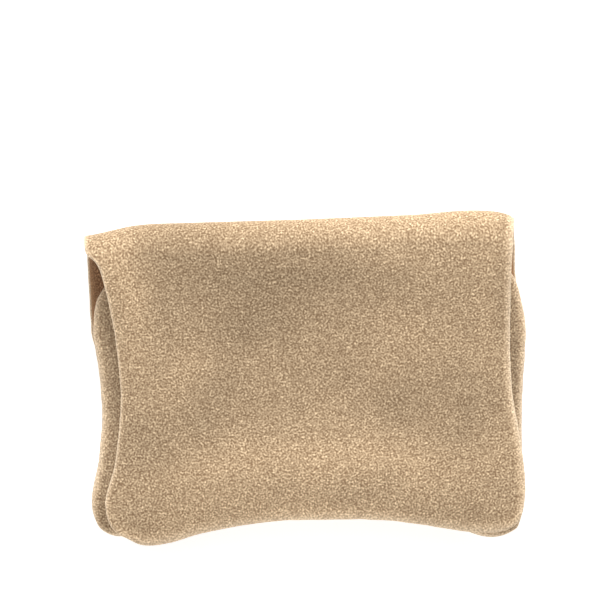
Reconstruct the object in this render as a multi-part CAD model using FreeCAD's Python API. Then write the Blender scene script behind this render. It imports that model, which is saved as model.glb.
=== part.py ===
"""Flap wallet in soft suede, lying on its back, in millimetres.

A pouch is closed by a flap that is one piece with its back. The flap folds over the mouth of the pocket
and a magnetic snap holds it. X runs across the wallet, +Y from the bottom seam to the fold and +Z from
the table up to the flap. The origin is under the middle of the wallet, on the table.

Every sheet of the pocket and the flap is a height field over the wallet's plan, given by a short formula,
extruded by its thickness and trimmed to its outline. The suede bends along the two long edges of the
fold, so the fold and the flap are bodies of their own.
"""

import math
import os

import FreeCAD
import Part

Vector = FreeCAD.Vector

# Driving dimensions of the wallet
FOLD_Y = 45.0  # top of the wallet, at the outside of the fold
FOLD_HEIGHT = 16.8  # thickness of the closed wallet at the fold
BELLY_HEIGHT = 16.5  # thickness where the pocket is fullest
FOLD_HALF_WIDTH = 58.4
MOUTH_Y = 30.0
SUEDE = 1.0
LINING = 0.5
FLEECE = 0.8
GLUE = 0.05  # gap between sheets that are glued or sewn together
MOVING_GAP = 0.3  # gap between bodies that move
SNAP_GAP = 0.15  # gap between the closed snap's halves

# The pouch in plan: waisted sides, an arched bottom and round corners
WAIST_HALF_WIDTH = 56.9
HIP_HALF_WIDTH = 59.5
WAIST_Y = -8.0
HIP_SPACING = 26.0  # from the waist to the widest place above and below it
ARCH_Y = -38.2
ARCH_DROP = 4.6
ARCH_REACH = 47.0
CORNER = (55.8, -41.0)

# The pocket's pillow
PILLOW_RISE = 9.0
PILLOW_REACH = 20.0
PILLOW_POWER = 2.2
MOUTH_SHARE = 0.88  # height at the mouth, as a share of the belly

# The flap in plan, right half, from the middle of its bottom edge to the fold
FLAP_HALF = [
    (0, -38.4), (20, -39.2), (33, -41.8), (45.4, -44.8), (53, -42.6), (56.8, -35.5),
    (55.7, -22), (53.8, -6), (53.8, 10), (55.4, 24), (57.6, 36), (FOLD_HALF_WIDTH, FOLD_Y),
]
FLAP_EDGE_HEIGHT = 5.1
FLAP_STACK = SUEDE + FLEECE + LINING + 2 * GLUE

# Snap
SNAP_Y = -11.0
SNAP_RADIUS = 7.0
SOCKET_HEIGHT = 1.9
SOCKET_WALL = 0.25
SOCKET_PLATE = 0.3
SOCKET_HOLE = 2.6
MAGNET_RADIUS = 6.5
STUD_DISC = 0.55
STUD_POST_RADIUS = 1.95
STUD_POST_LENGTH = 1.4
WASHER_THICKNESS = 0.3
PRONG_WIDTH = 3.0
PRONG_THICKNESS = 0.3
PRONG_X = 4.0
PRONG_FOOT = 2.2

# Card slots on the back lining
SLOT_HALF_WIDTH = 47.0
SLOT_BOTTOM_Y = -32.5
SLOT_LEATHER = 0.4
SLOT_TOPS = {"card_slot_rear": 15.0, "card_slot_front": 3.0}
THUMB_RADIUS = 9.0

# Stitches
STITCH_LENGTH = 2.4
STITCH_PITCH = 4.0
THREAD_RADIUS = 0.18
SEAM_INSET = 1.9

BACK_TOP = SUEDE
LINING_TOP = BACK_TOP + GLUE + LINING
TALL = 60.0


def half_width(y):
    """Half the width of the pouch at a height up its side."""
    swing = (HIP_HALF_WIDTH - WAIST_HALF_WIDTH) / 2
    return WAIST_HALF_WIDTH + swing * (1 - math.cos(math.pi * (y - WAIST_Y) / HIP_SPACING))


def bottom_edge(x):
    """Y of the pouch's arched bottom edge."""
    return ARCH_Y - ARCH_DROP * (x / ARCH_REACH) ** 2


def pouch_half():
    """The right half of the pouch's outline, from the middle of its bottom edge to the fold."""
    bottom = [(x, bottom_edge(x)) for x in (0, 16, 32, ARCH_REACH)]
    sides = [(half_width(y), y) for y in (-33, -21, WAIST_Y, 5, 18, MOUTH_Y)]
    return bottom + [CORNER] + sides + [(FOLD_HALF_WIDTH, FOLD_Y)]


def outline_curve(half, inset=0.0):
    """A smooth curve from the fold down the left side, along the bottom and up the right side."""
    widest = max(x for x, y in half)
    lowest = min(y for x, y in half)
    sx = (widest - inset) / widest
    sy = (abs(lowest) - inset) / abs(lowest)
    right = [Vector(x * sx, y * sy if y < 0 else y, 0) for x, y in half]
    left = [Vector(-p.x, p.y, 0) for p in reversed(right[1:])]
    curve = Part.BSplineCurve()
    curve.interpolate(left + right)
    return curve.toShape()


def prism(half, inset=0.0, z_low=0.0, z_high=TALL):
    """The outline closed along the fold and extruded up."""
    curve = outline_curve(half, inset)
    first, last = curve.Vertexes[0].Point, curve.Vertexes[-1].Point
    face = Part.Face(Part.Wire([curve, Part.makeLine(last, first)]))
    face.translate(Vector(0, 0, z_low))
    return face.extrude(Vector(0, 0, z_high - z_low))


def block(x_half, y_low, y_high, z_low, z_high):
    return Part.makeBox(2 * x_half, y_high - y_low, z_high - z_low, Vector(-x_half, y_low, z_low))


def ease(t):
    t = min(1.0, max(0.0, t))
    return t * t * (3 - 2 * t)


def bulge(distance, reach):
    """How far a pillow has risen at a distance from its seam, from 0 at the seam to 1."""
    t = min(1.0, distance / reach)
    if t < 0:
        return PILLOW_POWER * t
    return 1 - (1 - t) ** PILLOW_POWER


def pillow(x, y, reach, grow=0.0):
    """The pillow's height over its seam, as a share of its rise."""
    side = bulge(half_width(y) + grow - abs(x), reach)
    foot = bulge(y - bottom_edge(x) + grow, reach)
    if side > 0 and foot > 0:
        return side * foot
    return min(side, foot)


def pocket_rise(x, y):
    """Height of the pocket's front over the seam. It sinks a little towards the mouth."""
    towards_mouth = ease((y + 6) / (MOUTH_Y + 6))
    return PILLOW_RISE * pillow(x, min(y, MOUTH_Y), PILLOW_REACH) * (1 - (1 - MOUTH_SHARE) * towards_mouth)


def flap_top(x, y):
    """Height of the flap's outer face, which is level along the fold and drapes over the pocket."""
    drape = FLAP_EDGE_HEIGHT + (BELLY_HEIGHT - FLAP_EDGE_HEIGHT) * pillow(x, min(y, 30), PILLOW_REACH, 0.5)
    level = ease((y - 8) / (FOLD_Y - 4 - 8))
    return drape * (1 - level) + FOLD_HEIGHT * level


def height_sheet(height, offset, thickness, y_high):
    """A sheet of constant thickness over a height formula, wider than any outline."""
    columns, rows = 25, 21
    x_low, y_low = -63.0, -50.0
    dx = -2 * x_low / (columns - 1)
    dy = (y_high - y_low) / (rows - 1)
    grid = [[height(x_low + i * dx, y_low + j * dy) + offset for j in range(rows)] for i in range(columns)]
    points = [[Vector(x_low + i * dx, y_low + j * dy, grid[i][j]) for j in range(rows)] for i in range(columns)]
    surface = Part.BSplineSurface()
    surface.interpolate(points)
    return surface.toShape().extrude(Vector(0, 0, thickness))


def pocket_sheet(offset, thickness, inset, floor, y_high, y_low=-TALL):
    """One layer of the pocket's front, trimmed to the pouch's outline and standing on a level."""
    slab = height_sheet(pocket_rise, offset, thickness, 40.0)
    room = prism(pouch_half(), inset, floor, TALL).common(block(TALL, y_low, y_high, floor, TALL))
    return slab.common(room)


def flap_sheet(offset, thickness, inset, y_high):
    """One layer of the flap."""
    slab = height_sheet(flap_top, offset, thickness, 50.0)
    room = prism(FLAP_HALF, inset).common(block(TALL, -TALL, y_high, 0, TALL))
    return slab.common(room)


def round_shoulders(sheet, radius=11.0):
    """Rounds the two upper corners of the pocket's front, in plan."""
    for side in (-1, 1):
        x_edge = side * half_width(MOUTH_Y)
        corner = Part.makeBox(radius, radius, TALL, Vector(min(x_edge, x_edge - side * radius), MOUTH_Y - radius, 0))
        disc = Part.makeCylinder(radius, TALL, Vector(x_edge - side * radius, MOUTH_Y - radius, 0))
        outside = Part.makeBox(radius, TALL, TALL, Vector(min(x_edge, x_edge + side * radius), MOUTH_Y - radius, 0))
        sheet = sheet.cut(corner.cut(disc)).cut(outside)
    return sheet


def prong_slots(z_low, z_high, grow=0.1):
    """Two bars through which a snap half's prongs pass."""
    bars = []
    for side in (-1, 1):
        corner = Vector(
            side * PRONG_X - PRONG_THICKNESS / 2 - grow, SNAP_Y - PRONG_WIDTH / 2 - grow, z_low
        )
        bars.append(Part.makeBox(PRONG_THICKNESS + 2 * grow, PRONG_WIDTH + 2 * grow, z_high - z_low, corner))
    return bars[0].fuse(bars[1])


def snap_disc(radius, z_low, z_high, hole=0.0):
    disc = Part.makeCylinder(radius, z_high - z_low, Vector(0, SNAP_Y, z_low))
    if hole:
        disc = disc.cut(Part.makeCylinder(hole, z_high - z_low, Vector(0, SNAP_Y, z_low)))
    return disc


def pronged_plate(z_face, z_foot, radius, hole):
    """A thin steel plate with two prongs, bent outwards over a washer at z_foot."""
    up = 1 if z_foot > z_face else -1
    plate = snap_disc(radius, min(z_face, z_face - up * SOCKET_PLATE), max(z_face, z_face - up * SOCKET_PLATE), hole)
    legs = prong_slots(min(z_face, z_foot), max(z_face, z_foot), 0.0)
    plate = plate.fuse(legs)
    for side in (-1, 1):
        inner = side * (PRONG_X - PRONG_THICKNESS / 2)
        outer = side * (PRONG_X + PRONG_FOOT)
        z_low = min(z_foot, z_foot + up * PRONG_THICKNESS)
        corner = Vector(min(inner, outer), SNAP_Y - PRONG_WIDTH / 2, z_low)
        plate = plate.fuse(Part.makeBox(abs(outer - inner), PRONG_WIDTH, PRONG_THICKNESS, corner))
    return plate.removeSplitter()


def stitches(points, heights):
    """A row of laid stitches, one solid each, along points in plan at the heights given by a function."""
    row = []
    for a, b in zip(points, points[1:]):
        start = Vector(a.x, a.y, heights(a.x, a.y))
        end = Vector(b.x, b.y, heights(b.x, b.y))
        along = (end - start).normalize()
        middle = (start + end) * 0.5
        row.append(Part.makeCylinder(THREAD_RADIUS, STITCH_LENGTH, middle - along * (STITCH_LENGTH / 2), along))
    return Part.makeCompound(row)


def spaced(edge):
    """Points a stitch apart along an edge."""
    return edge.discretize(Number=max(2, round(edge.Length / STITCH_PITCH) + 1))


def seam_line(half, inset, y_high):
    """Points a stitch apart along an outline, below a level of y."""
    return [p for p in spaced(outline_curve(half, inset)) if p.y < y_high]


def save(name, shape):
    shape.exportStep(f"parts/{name}.step")
    print(f"{name}: {len(shape.Solids)} solids, {shape.Volume:.1f} mm3, valid {shape.isValid()}")


def make_back():
    save("back_panel", prism(pouch_half(), 0.0, 0.0, BACK_TOP))
    lining = prism(pouch_half(), 3.0, BACK_TOP + GLUE, LINING_TOP)
    save("back_lining", lining.common(block(TALL, -TALL, FOLD_Y - SUEDE - LINING - 2 * GLUE, 0, TALL)))


def make_pocket():
    socket_base = BACK_TOP + SUEDE + PILLOW_RISE
    front = pocket_sheet(BACK_TOP - 0.2, SUEDE + 0.2, 0.0, BACK_TOP, MOUTH_Y)
    front = round_shoulders(front).cut(prong_slots(0, TALL))
    save("pocket_front", front)
    fleece_room = snap_disc(SNAP_RADIUS + 0.8, 0, TALL)
    under = BACK_TOP - 0.2 - GLUE
    fleece = pocket_sheet(under - FLEECE, FLEECE, 4.0, LINING_TOP + GLUE, MOUTH_Y - 1.5)
    save("pocket_interlining", round_shoulders(fleece, 12.0).cut(fleece_room))
    lining_offset = under - FLEECE - GLUE - LINING
    facing_y = MOUTH_Y - 12.0
    save("pocket_lining", pocket_sheet(lining_offset, LINING, 3.0, LINING_TOP, facing_y - GLUE))
    facing = pocket_sheet(lining_offset, LINING, 3.0, LINING_TOP, MOUTH_Y - 0.6, facing_y)
    save("mouth_facing", round_shoulders(facing, 11.5))
    return socket_base


def make_card_slots():
    level = LINING_TOP + 0.15
    levels = {}
    for name, top in SLOT_TOPS.items():
        leaf = block(SLOT_HALF_WIDTH, SLOT_BOTTOM_Y, top, level, level + SLOT_LEATHER)
        thumb = Part.makeCylinder(THUMB_RADIUS, TALL, Vector(0, top + THUMB_RADIUS * 0.55, 0))
        save(name, leaf.cut(thumb))
        levels[name] = level + SLOT_LEATHER
        level += SLOT_LEATHER + 0.1
    return levels


def make_snap_socket(base):
    top = base + SOCKET_HEIGHT
    shell = snap_disc(SNAP_RADIUS, base, top, SOCKET_HOLE)
    save("snap_socket_cap", shell.cut(snap_disc(SNAP_RADIUS - SOCKET_WALL, base, top - SOCKET_WALL)))
    magnet_low = base + SOCKET_PLATE + GLUE
    magnet = snap_disc(MAGNET_RADIUS, magnet_low, top - SOCKET_WALL - GLUE, SOCKET_HOLE + 0.1)
    save("snap_socket_magnet", magnet)
    washer_top = base - SUEDE - 0.3
    foot = washer_top - WASHER_THICKNESS
    washer = snap_disc(SNAP_RADIUS, foot, washer_top, 1.5).cut(prong_slots(0, TALL, 0.05))
    save("snap_socket_washer", washer)
    save("snap_socket_plate", pronged_plate(base, foot, MAGNET_RADIUS, SOCKET_HOLE + 0.1))


def make_snap_stud(base, lining_low):
    """The flap's half of the snap. Its disc lies under the flap's lining and its prongs go up through it."""
    disc_low = base + SOCKET_HEIGHT + SNAP_GAP
    disc = snap_disc(SNAP_RADIUS, disc_low, disc_low + STUD_DISC)
    post = Part.makeCylinder(STUD_POST_RADIUS, STUD_POST_LENGTH, Vector(0, SNAP_Y, disc_low - STUD_POST_LENGTH))
    save("snap_stud_cap", disc.fuse(post).removeSplitter())
    plate_low = disc_low + STUD_DISC + 0.02
    washer_low = lining_low + LINING + GLUE
    foot = washer_low + WASHER_THICKNESS
    washer = snap_disc(SNAP_RADIUS, washer_low, foot, 1.5).cut(prong_slots(0, TALL, 0.05))
    save("snap_stud_washer", washer)
    save("snap_stud_plate", pronged_plate(plate_low + SOCKET_PLATE, foot, SNAP_RADIUS - 0.4, 0.0))
    return plate_low + SOCKET_PLATE


def make_fold():
    z_low, z_high = BACK_TOP + MOVING_GAP, FOLD_HEIGHT - SUEDE - MOVING_GAP
    save("fold_panel", block(FOLD_HALF_WIDTH, FOLD_Y - SUEDE, FOLD_Y, z_low, z_high))
    outer = FOLD_Y - SUEDE - GLUE
    lining_low, lining_high = LINING_TOP + MOVING_GAP, FOLD_HEIGHT - FLAP_STACK - MOVING_GAP
    save("fold_lining", block(FOLD_HALF_WIDTH - 1.5, outer - LINING, outer, lining_low, lining_high))


def make_flap():
    panel_low = -SUEDE
    fleece_low = panel_low - GLUE - FLEECE
    lining_low = fleece_low - GLUE - LINING
    save("flap_panel", flap_sheet(panel_low, SUEDE, 0.0, FOLD_Y))
    fleece = flap_sheet(fleece_low, FLEECE, 3.5, FOLD_Y - 4.0)
    save("flap_interlining", fleece.cut(snap_disc(SNAP_RADIUS + 0.8, 0, TALL)))
    inner_y = FOLD_Y - SUEDE - LINING - GLUE - MOVING_GAP
    lining = flap_sheet(lining_low, LINING, 0.8, inner_y)
    save("flap_lining", lining.cut(prong_slots(0, TALL)))
    seam = seam_line(FLAP_HALF, 2.0, FOLD_Y - 6.0)
    save("flap_seam_stitching", stitches(seam, lambda x, y: flap_top(x, y) - SUEDE - 0.4))
    return flap_top(0, SNAP_Y) + lining_low


def make_stitching(slot_levels):
    seam = seam_line(pouch_half(), SEAM_INSET, MOUTH_Y - 8.0)
    save("pouch_seam_stitching", stitches(seam, lambda x, y: BACK_TOP + THREAD_RADIUS + 0.1))
    reach = half_width(MOUTH_Y) - 13.0
    mouth = Part.makeLine(Vector(-reach, MOUTH_Y - 2.5, 0), Vector(reach, MOUTH_Y - 2.5, 0))
    top = BACK_TOP + SUEDE + THREAD_RADIUS + 0.08
    save("mouth_stitching", stitches(spaced(mouth), lambda x, y: top + pocket_rise(x, y)))
    rows = []
    edge = SLOT_HALF_WIDTH - 1.2
    for name, low in (("card_slot_rear", SLOT_TOPS["card_slot_front"] + 1.5), ("card_slot_front", SLOT_BOTTOM_Y + 1.2)):
        height = slot_levels[name] + THREAD_RADIUS + 0.02
        for x in (-edge, edge):
            line = Part.makeLine(Vector(x, low, 0), Vector(x, SLOT_TOPS[name] - 0.8, 0))
            rows.append(stitches(spaced(line), lambda x, y, z=height: z))
    base = Part.makeLine(Vector(-edge + 2, SLOT_BOTTOM_Y + 1.2, 0), Vector(edge - 2, SLOT_BOTTOM_Y + 1.2, 0))
    rows.append(stitches(spaced(base), lambda x, y: slot_levels["card_slot_front"] + THREAD_RADIUS + 0.02))
    save("card_slot_stitching", Part.makeCompound([s for row in rows for s in row.Solids]))


def main():
    os.makedirs("parts", exist_ok=True)
    make_back()
    socket_base = make_pocket()
    slot_levels = make_card_slots()
    make_snap_socket(socket_base + 0.05)
    make_fold()
    lining_low = make_flap()
    stud_top = make_snap_stud(socket_base + 0.05, lining_low)
    print(f"stud plate top {stud_top:.2f}, flap lining underside {lining_low:.2f}")
    make_stitching(slot_levels)


main()
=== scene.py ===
# %% [markdown]
# # A soft suede wallet
# This notebook builds the visible surfaces of a small suede wallet that lies on its back. Its solids, sizes
# and joints come from a imported CAD frame. Every sheet of leather and cloth is modelled again here with its
# real thickness, its soft folds and its nap. The pouch's sheets, the flap's fleece, the threads and the
# snap's cups are then tied to the body that carries them; the back's and the flap's suede and linings stay
# in the wallet's own frame. Metres are used throughout, because the frame is in metres; `MM` turns
# millimetres into metres.

# %% Load the frame
import math

import bmesh
import bpy
import numpy as np
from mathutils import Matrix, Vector, noise


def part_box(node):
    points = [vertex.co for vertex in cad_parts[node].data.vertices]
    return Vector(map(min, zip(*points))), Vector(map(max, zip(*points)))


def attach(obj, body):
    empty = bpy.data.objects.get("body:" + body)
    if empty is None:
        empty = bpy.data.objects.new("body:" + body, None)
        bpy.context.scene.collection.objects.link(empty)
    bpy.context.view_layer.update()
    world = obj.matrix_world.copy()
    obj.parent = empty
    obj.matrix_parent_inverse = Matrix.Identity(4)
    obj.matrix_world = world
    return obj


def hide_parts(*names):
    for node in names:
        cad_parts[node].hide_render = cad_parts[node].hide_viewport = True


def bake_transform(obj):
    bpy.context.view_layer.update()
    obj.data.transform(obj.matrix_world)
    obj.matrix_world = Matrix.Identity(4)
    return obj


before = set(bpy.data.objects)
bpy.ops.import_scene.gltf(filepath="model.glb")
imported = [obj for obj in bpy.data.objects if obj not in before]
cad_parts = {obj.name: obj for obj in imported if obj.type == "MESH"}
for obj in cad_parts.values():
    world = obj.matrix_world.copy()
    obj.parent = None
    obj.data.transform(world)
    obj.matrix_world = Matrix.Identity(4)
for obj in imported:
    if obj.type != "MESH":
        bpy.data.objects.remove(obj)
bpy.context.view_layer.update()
MM = 0.001

# %% [markdown]
# ## Sizes from the frame
# Nothing is measured twice. The half width, the fold's height and the snap's place are read from the boxes
# of the CAD nodes, and the sheet thicknesses are those of garment suede and light lining cloth. The stacks
# add up the layers that lie on each other at the snap and at the seam.


# %% Sizes
def box_corners(node):
    """The lowest and the highest corner of a CAD node's box."""
    low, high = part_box(node)
    return Vector(low), Vector(high)


HALF_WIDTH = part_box("back_panel")[1][0]
HALF_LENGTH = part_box("back_panel")[1][1]
FOLD_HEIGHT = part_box("flap_panel")[1][2]
SNAP_LOW, SNAP_HIGH = box_corners("snap_socket_cap")
SNAP_CENTRE = (SNAP_LOW + SNAP_HIGH) / 2
STUD_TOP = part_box("snap_stud_plate")[1][2]
SUEDE, LINING, FLEECE, GLUE = 1.0 * MM, 0.5 * MM, 0.8 * MM, 0.05 * MM
FLAP_STACK = SUEDE + FLEECE + LINING + 2 * GLUE
LINING_TOP = SUEDE + GLUE + LINING
SEAM_TOP = LINING_TOP + GLUE + SUEDE
FOLD_RADIUS = 5.5 * MM  # height of each quarter turn, and how far before the fold's line the back's begins
FLAP_REACH = 9.0 * MM  # how far before the fold's line the padded flap begins to turn
print(f"half width {HALF_WIDTH / MM:.1f} mm, fold height {FOLD_HEIGHT / MM:.1f} mm")
print("snap at", [round(c / MM, 1) for c in SNAP_CENTRE], "mm")

# %% [markdown]
# ## Soft outlines
# Hand-cut suede has no sharp corner anywhere. Each edge is drawn through a few points, given as shares of
# the half width and of the half length, and then averaged along its length. That rounds the corners as
# turning a sewn edge does. A NURBS curve would do it too, but an averaged line is easy to read at any
# distance along it.

# %% A soft line through a few points
LINE_STEPS = 320  # places along each line, less than half a millimetre apart


def run_length(places):
    """Distance along a row of places, from the first to each of them."""
    return np.concatenate([[0], np.cumsum(np.linalg.norm(np.diff(places, axis=0), axis=1))])


def soft_line(points, passes=40):
    """The curve as a function of the share of its length, from 0 to 1. Its places are kept as curve.line."""
    points = np.array(points, float) * [HALF_WIDTH, HALF_LENGTH]
    length = run_length(points)
    at = np.linspace(0, length[-1], LINE_STEPS)
    line = np.stack([np.interp(at, length, points[:, k]) for k in (0, 1)], axis=1)
    for _ in range(passes):
        line[1:-1] = (line[:-2] + 2 * line[1:-1] + line[2:]) / 4
    steps = run_length(line)
    share = steps / steps[-1]

    def curve(t):
        return np.array([np.interp(t, share, line[:, 0]), np.interp(t, share, line[:, 1])])

    curve.line = line
    return curve


# %% [markdown]
# ## The fold's line
# The fold isn't straight. It climbs a little to the right, and both ends slump where nothing fills them.
# The back and the flap could each carry a line of their own, but they share this one, so that they meet all
# along the fold. `UNROLL` is how much longer the leather is than its plan once it has gone a quarter of the
# way round.

# %% The fold in plan and its height
FOLD_LINE = soft_line([
    (-1.02, 0.858), (-0.965, 0.866), (-0.92, 0.879), (-0.79, 0.919), (-0.70, 0.931), (-0.36, 0.944), (0, 0.958),
    (0.5, 0.986), (0.66, 1.007), (0.75, 1.012), (0.84, 1.008), (0.90, 0.994), (0.94, 0.97), (0.97, 0.92)], 18)
FOLD_LEFT, FOLD_RIGHT = -1.007, 0.945
UNROLL = FOLD_HEIGHT / 2 + FOLD_RADIUS * (math.pi / 2 - 2)
LEFT_SLUMP, RIGHT_SLUMP = 2.6 * MM, 1.6 * MM  # how far the two open ends sink
LEFT_LOWEST, RIGHT_LOWEST = -1.0, 0.96  # where they are lowest, in half widths
LEFT_SPAN, RIGHT_SPAN = 0.3, 0.14  # and over what length they sink, in half widths


def fold_y(x):
    """Where the fold's line lies in plan."""
    return float(np.interp(x, FOLD_LINE.line[:, 0], FOLD_LINE.line[:, 1]))


def ease(t):
    """A soft step from 0 to 1."""
    t = min(1.0, max(0.0, t))
    return t * t * (3 - 2 * t)


def fold_top(x):
    """Height of the folded leather, which slumps towards its two open ends."""
    left = ease((x / HALF_WIDTH - LEFT_LOWEST) / LEFT_SPAN)
    right = ease((RIGHT_LOWEST - x / HALF_WIDTH) / RIGHT_SPAN)
    return FOLD_HEIGHT - LEFT_SLUMP * (1 - left) - RIGHT_SLUMP * (1 - right)


print(f"fold from y {fold_y(-HALF_WIDTH) / MM:.1f} to {fold_y(HALF_WIDTH) / MM:.1f} mm")

# %% [markdown]
# ## Three cut shapes
# The wallet is sewn from three cuts: the back, the pocket's front and the flap. A closed curve could be
# filled for each, but a filled curve has no rows and columns, and leather that has to bend needs them. So
# each cut is held as four soft edges, bottom, top, left and right, that meet in the middle of its rounded
# corners. A plain grid can then fill it without folding over itself.

# %% Edges of the pouch
POUCH_BOTTOM = [
    (-0.943, -0.895), (-0.92, -0.925), (-0.896, -0.946), (-0.85, -0.95), (-0.6, -0.93), (-0.3, -0.86),
    (0, -0.833), (0.3, -0.83), (0.6, -0.878), (0.706, -0.905), (0.768, -0.938), (0.834, -0.959),
    (0.902, -0.949), (0.961, -0.896)]
POUCH_LEFT = [
    (-0.943, -0.895), (-0.969, -0.83), (-0.982, -0.751), (-0.978, -0.689), (-0.946, -0.494), (-0.929, -0.25),
    (-0.936, -0.045), (-0.959, 0.176)]
POUCH_RIGHT = [
    (0.961, -0.896), (0.981, -0.838), (0.989, -0.75), (0.99, -0.66), (0.982, -0.5), (0.982, -0.3),
    (0.984, -0.07), (0.997, 0.17)]
MOUTH = [
    (-0.90, 0.6), (-0.86, 0.634), (-0.79, 0.652), (-0.4, 0.66), (0, 0.664), (0.45, 0.67), (0.8, 0.695),
    (0.87, 0.69), (0.92, 0.67)]


def at_fold(x):
    """The place on the flat cut that reaches the fold's middle line."""
    return x, (fold_y(x * HALF_WIDTH) + UNROLL) / HALF_LENGTH


fold_edge = soft_line([at_fold(x) for x in np.linspace(FOLD_LEFT, FOLD_RIGHT, 40)], 4)
back_left = [(-0.979, 0.26), (-0.988, 0.46), (-0.995, 0.64), (-0.999, 0.78), at_fold(FOLD_LEFT)]
back_right = [(0.99, 0.3), (0.968, 0.5), (0.952, 0.62), (0.95, 0.8), at_fold(FOLD_RIGHT)]
back_edges = (
    soft_line(POUCH_BOTTOM), fold_edge, soft_line(POUCH_LEFT + back_left), soft_line(POUCH_RIGHT + back_right))
left_shoulder = [(-0.974, 0.258), (-0.972, 0.347), (-0.967, 0.432), (-0.953, 0.494), (-0.90, 0.6)]
right_shoulder = [(1.004, 0.258), (1.003, 0.33), (0.99, 0.435), (0.977, 0.515), (0.957, 0.602), (0.92, 0.67)]
pocket_edges = (
    soft_line(POUCH_BOTTOM), soft_line(MOUTH), soft_line(POUCH_LEFT + left_shoulder, 14),
    soft_line(POUCH_RIGHT + right_shoulder, 14))
print("mouth spans x", [round(float(x) / MM, 1) for x in pocket_edges[1].line[[0, -1], 0]])

# %% Edges of the flap
FLAP_BOTTOM = [
    (-0.85, -0.925), (-0.80, -0.955), (-0.757, -0.985), (-0.725, -0.997), (-0.658, -0.992), (-0.592, -0.972),
    (-0.49, -0.928), (-0.36, -0.891), (-0.227, -0.862), (-0.095, -0.843), (0.1, -0.84), (0.235, -0.836),
    (0.37, -0.844), (0.5, -0.866), (0.7, -0.909), (0.768, -0.916), (0.834, -0.918), (0.90, -0.903),
    (0.945, -0.868)]
FLAP_LEFT = [
    (-0.85, -0.925), (-0.887, -0.875), (-0.906, -0.804), (-0.913, -0.743), (-0.903, -0.664), (-0.867, -0.506),
    (-0.849, -0.304), (-0.84, -0.1), (-0.847, 0.022), (-0.867, 0.268), (-0.899, 0.505), (-0.925, 0.644),
    (-0.94, 0.687), (-0.958, 0.714), (-0.986, 0.726), (-0.998, 0.76), at_fold(FOLD_LEFT)]
FLAP_RIGHT = [
    (0.945, -0.868), (0.968, -0.834), (0.985, -0.752), (0.994, -0.656), (0.987, -0.524), (0.977, -0.43),
    (0.966, -0.33), (0.943, -0.17), (0.93, -0.06), (0.922, 0.15), (0.92, 0.4), (0.92, 0.6), (0.927, 0.8),
    at_fold(FOLD_RIGHT)]
flap_edges = (soft_line(FLAP_BOTTOM, 12), fold_edge, soft_line(FLAP_LEFT, 10), soft_line(FLAP_RIGHT, 14))
print("flap spans x", [round(float(e.line[:, 0].min() / MM), 1) for e in flap_edges[2:]])

# %% [markdown]
# ## The pillow
# A sewn pouch is thin at its seams and full in the middle. A cloth simulation with air pressure could blow
# it up, but a formula gives the same height on every run and can be asked at any place. `pillow` is 0 on
# the seam and 1 inside, and it rises quickly at first, as leather does when it is turned right side out
# over a seam. The padded flap is stiffer than the pocket: it bends less and its free edges stand a little
# clear, so its own pillow reaches further in and drops less.

# %% The pillow and the pocket's height
FLAP_EDGE = 9.6 * MM  # height of the flap's free edges
SNAP_AIR = 0.03 * MM  # air in the snap's stack
POCKET_RISE = SNAP_LOW.z - GLUE - SEAM_TOP
SNAP_STACK = STUD_TOP - (SEAM_TOP + POCKET_RISE) + SNAP_AIR
MOUTH_Y = 0.66 * HALF_LENGTH
POCKET_PILLOW = {"reach": 20 * MM, "power": 2.1}
FLAP_PILLOW = {"reach": 26 * MM, "power": 1.7}
MOUTH_SINK, SINK_FROM = 0.1, -6 * MM  # the pocket's face sinks by a tenth from here up to its mouth


def pillow(edges, x, y, reach, power):
    """How full the pouch is: 0 on the side and bottom seams, and 1 further in than reach."""
    bottom, _, left, right = edges
    side_left = x - np.interp(y, left.line[:, 1], left.line[:, 0])
    side_right = np.interp(y, right.line[:, 1], right.line[:, 0]) - x
    foot = y - np.interp(x, bottom.line[:, 0], bottom.line[:, 1])
    full = 1.0
    for distance in (side_left, side_right, foot):
        full *= 1 - (1 - min(1.0, max(0.0, distance / reach))) ** power
    return full


def pocket_top(x, y):
    """Height of the pocket's outer face, a little lower at the mouth than at the belly."""
    sink = MOUTH_SINK * ease((y - SINK_FROM) / (MOUTH_Y - SINK_FROM))
    return SEAM_TOP + POCKET_RISE * pillow(pocket_edges, x, min(y, MOUTH_Y), **POCKET_PILLOW) * (1 - sink)


print(f"pocket's belly at {pocket_top(0, 0) / MM:.2f} mm, its mouth at {pocket_top(0, MOUTH_Y) / MM:.2f} mm")

# %% [markdown]
# ## Soft swells and creases
# Suede this thin never lies flat. The flap has a shallow valley below the fold, a ridge near its lower edge
# and a diagonal crease on the left. They could be sculpted by hand, but marks in a list can be read and
# moved. Each is one soft mound with a place, a direction, a length, a width and a height, and a little
# smooth noise is added on top: slow waves about 17 mm long, and ripples of 6 mm.

# %% Swells on the flap
SWELLS = [  # x, y, direction in degrees, length, width, height; millimetres
    (0, -28, 1, 70, 6.5, 0.55), (0, 2, 2, 60, 12, -0.35), (-30, -8, 53, 16, 4.0, -0.55),
    (-31, 9, 60, 11, 6, 0.35), (36, -9, 70, 12, 5, -0.4), (-14, 27, 175, 26, 7, -0.45),
    (28, 22, 20, 20, 7, 0.25), (-46, -34, 60, 8, 5, 0.3), (44, -33, 120, 9, 5, 0.3),
    (-52, 30, 100, 12, 4, 0.3),
]
SETTLE, WAVE_HEIGHT, RIPPLE_HEIGHT = 0.35, 0.28, 0.06  # millimetres; SETTLE is how far it all sinks


def soft_sum(marks, x, y):
    """Sum of the soft mounds in a list at one place."""
    total = 0.0
    for sx, sy, turn, length, width, height in marks:
        dx, dy, a = x / MM - sx, y / MM - sy, math.radians(turn)
        along, across = dx * math.cos(a) + dy * math.sin(a), dy * math.cos(a) - dx * math.sin(a)
        total += height * math.exp(-(along / length) ** 2 - (across / width) ** 2)
    return total


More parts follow.
